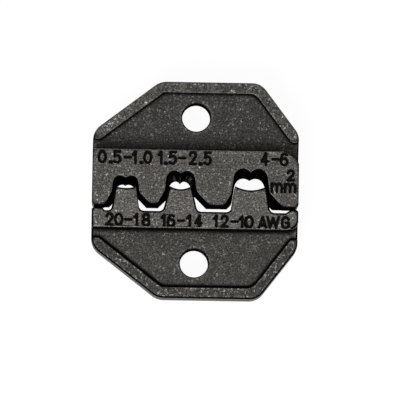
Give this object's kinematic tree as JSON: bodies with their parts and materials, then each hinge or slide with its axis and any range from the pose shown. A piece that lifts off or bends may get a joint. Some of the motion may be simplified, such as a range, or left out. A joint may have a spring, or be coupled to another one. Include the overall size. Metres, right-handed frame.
{
  "type": "crimp die",
  "caption": "Two-piece crimp die: an upper die with stepped double-lobed nests closes on a lower die with hollow-topped anvils; rimmed webs with screw holes.",
  "frame": {"origin": "centre of the footprint of the closed pair, on the plane of the back faces that it lies on", "axes": "+X along the parting line, from the smallest nest to the largest; +Y the crimping direction, from the lower die to the upper die; +Z out of the front faces, which are up"},
  "size_m": [0.0352, 0.037, 0.01],
  "materials": {
    "upper_steel": "black oxide on cast and ground steel, matt, rubbed bright along the edges of the band and rim",
    "lower_steel": "black oxide on cast and ground steel, slightly smoother and greyer than the upper die's"
  },
  "bodies": {
    "fixed_die": {"upper_die": "upper_steel"},
    "moving_die": {"lower_die": "lower_steel"}
  },
  "joints": [
    {"name": "lower_die_travel", "type": "slide", "parent": "fixed_die", "child": "moving_die", "axis": [0, -1, 0], "range_m": [0, 0.012]}
  ]
}
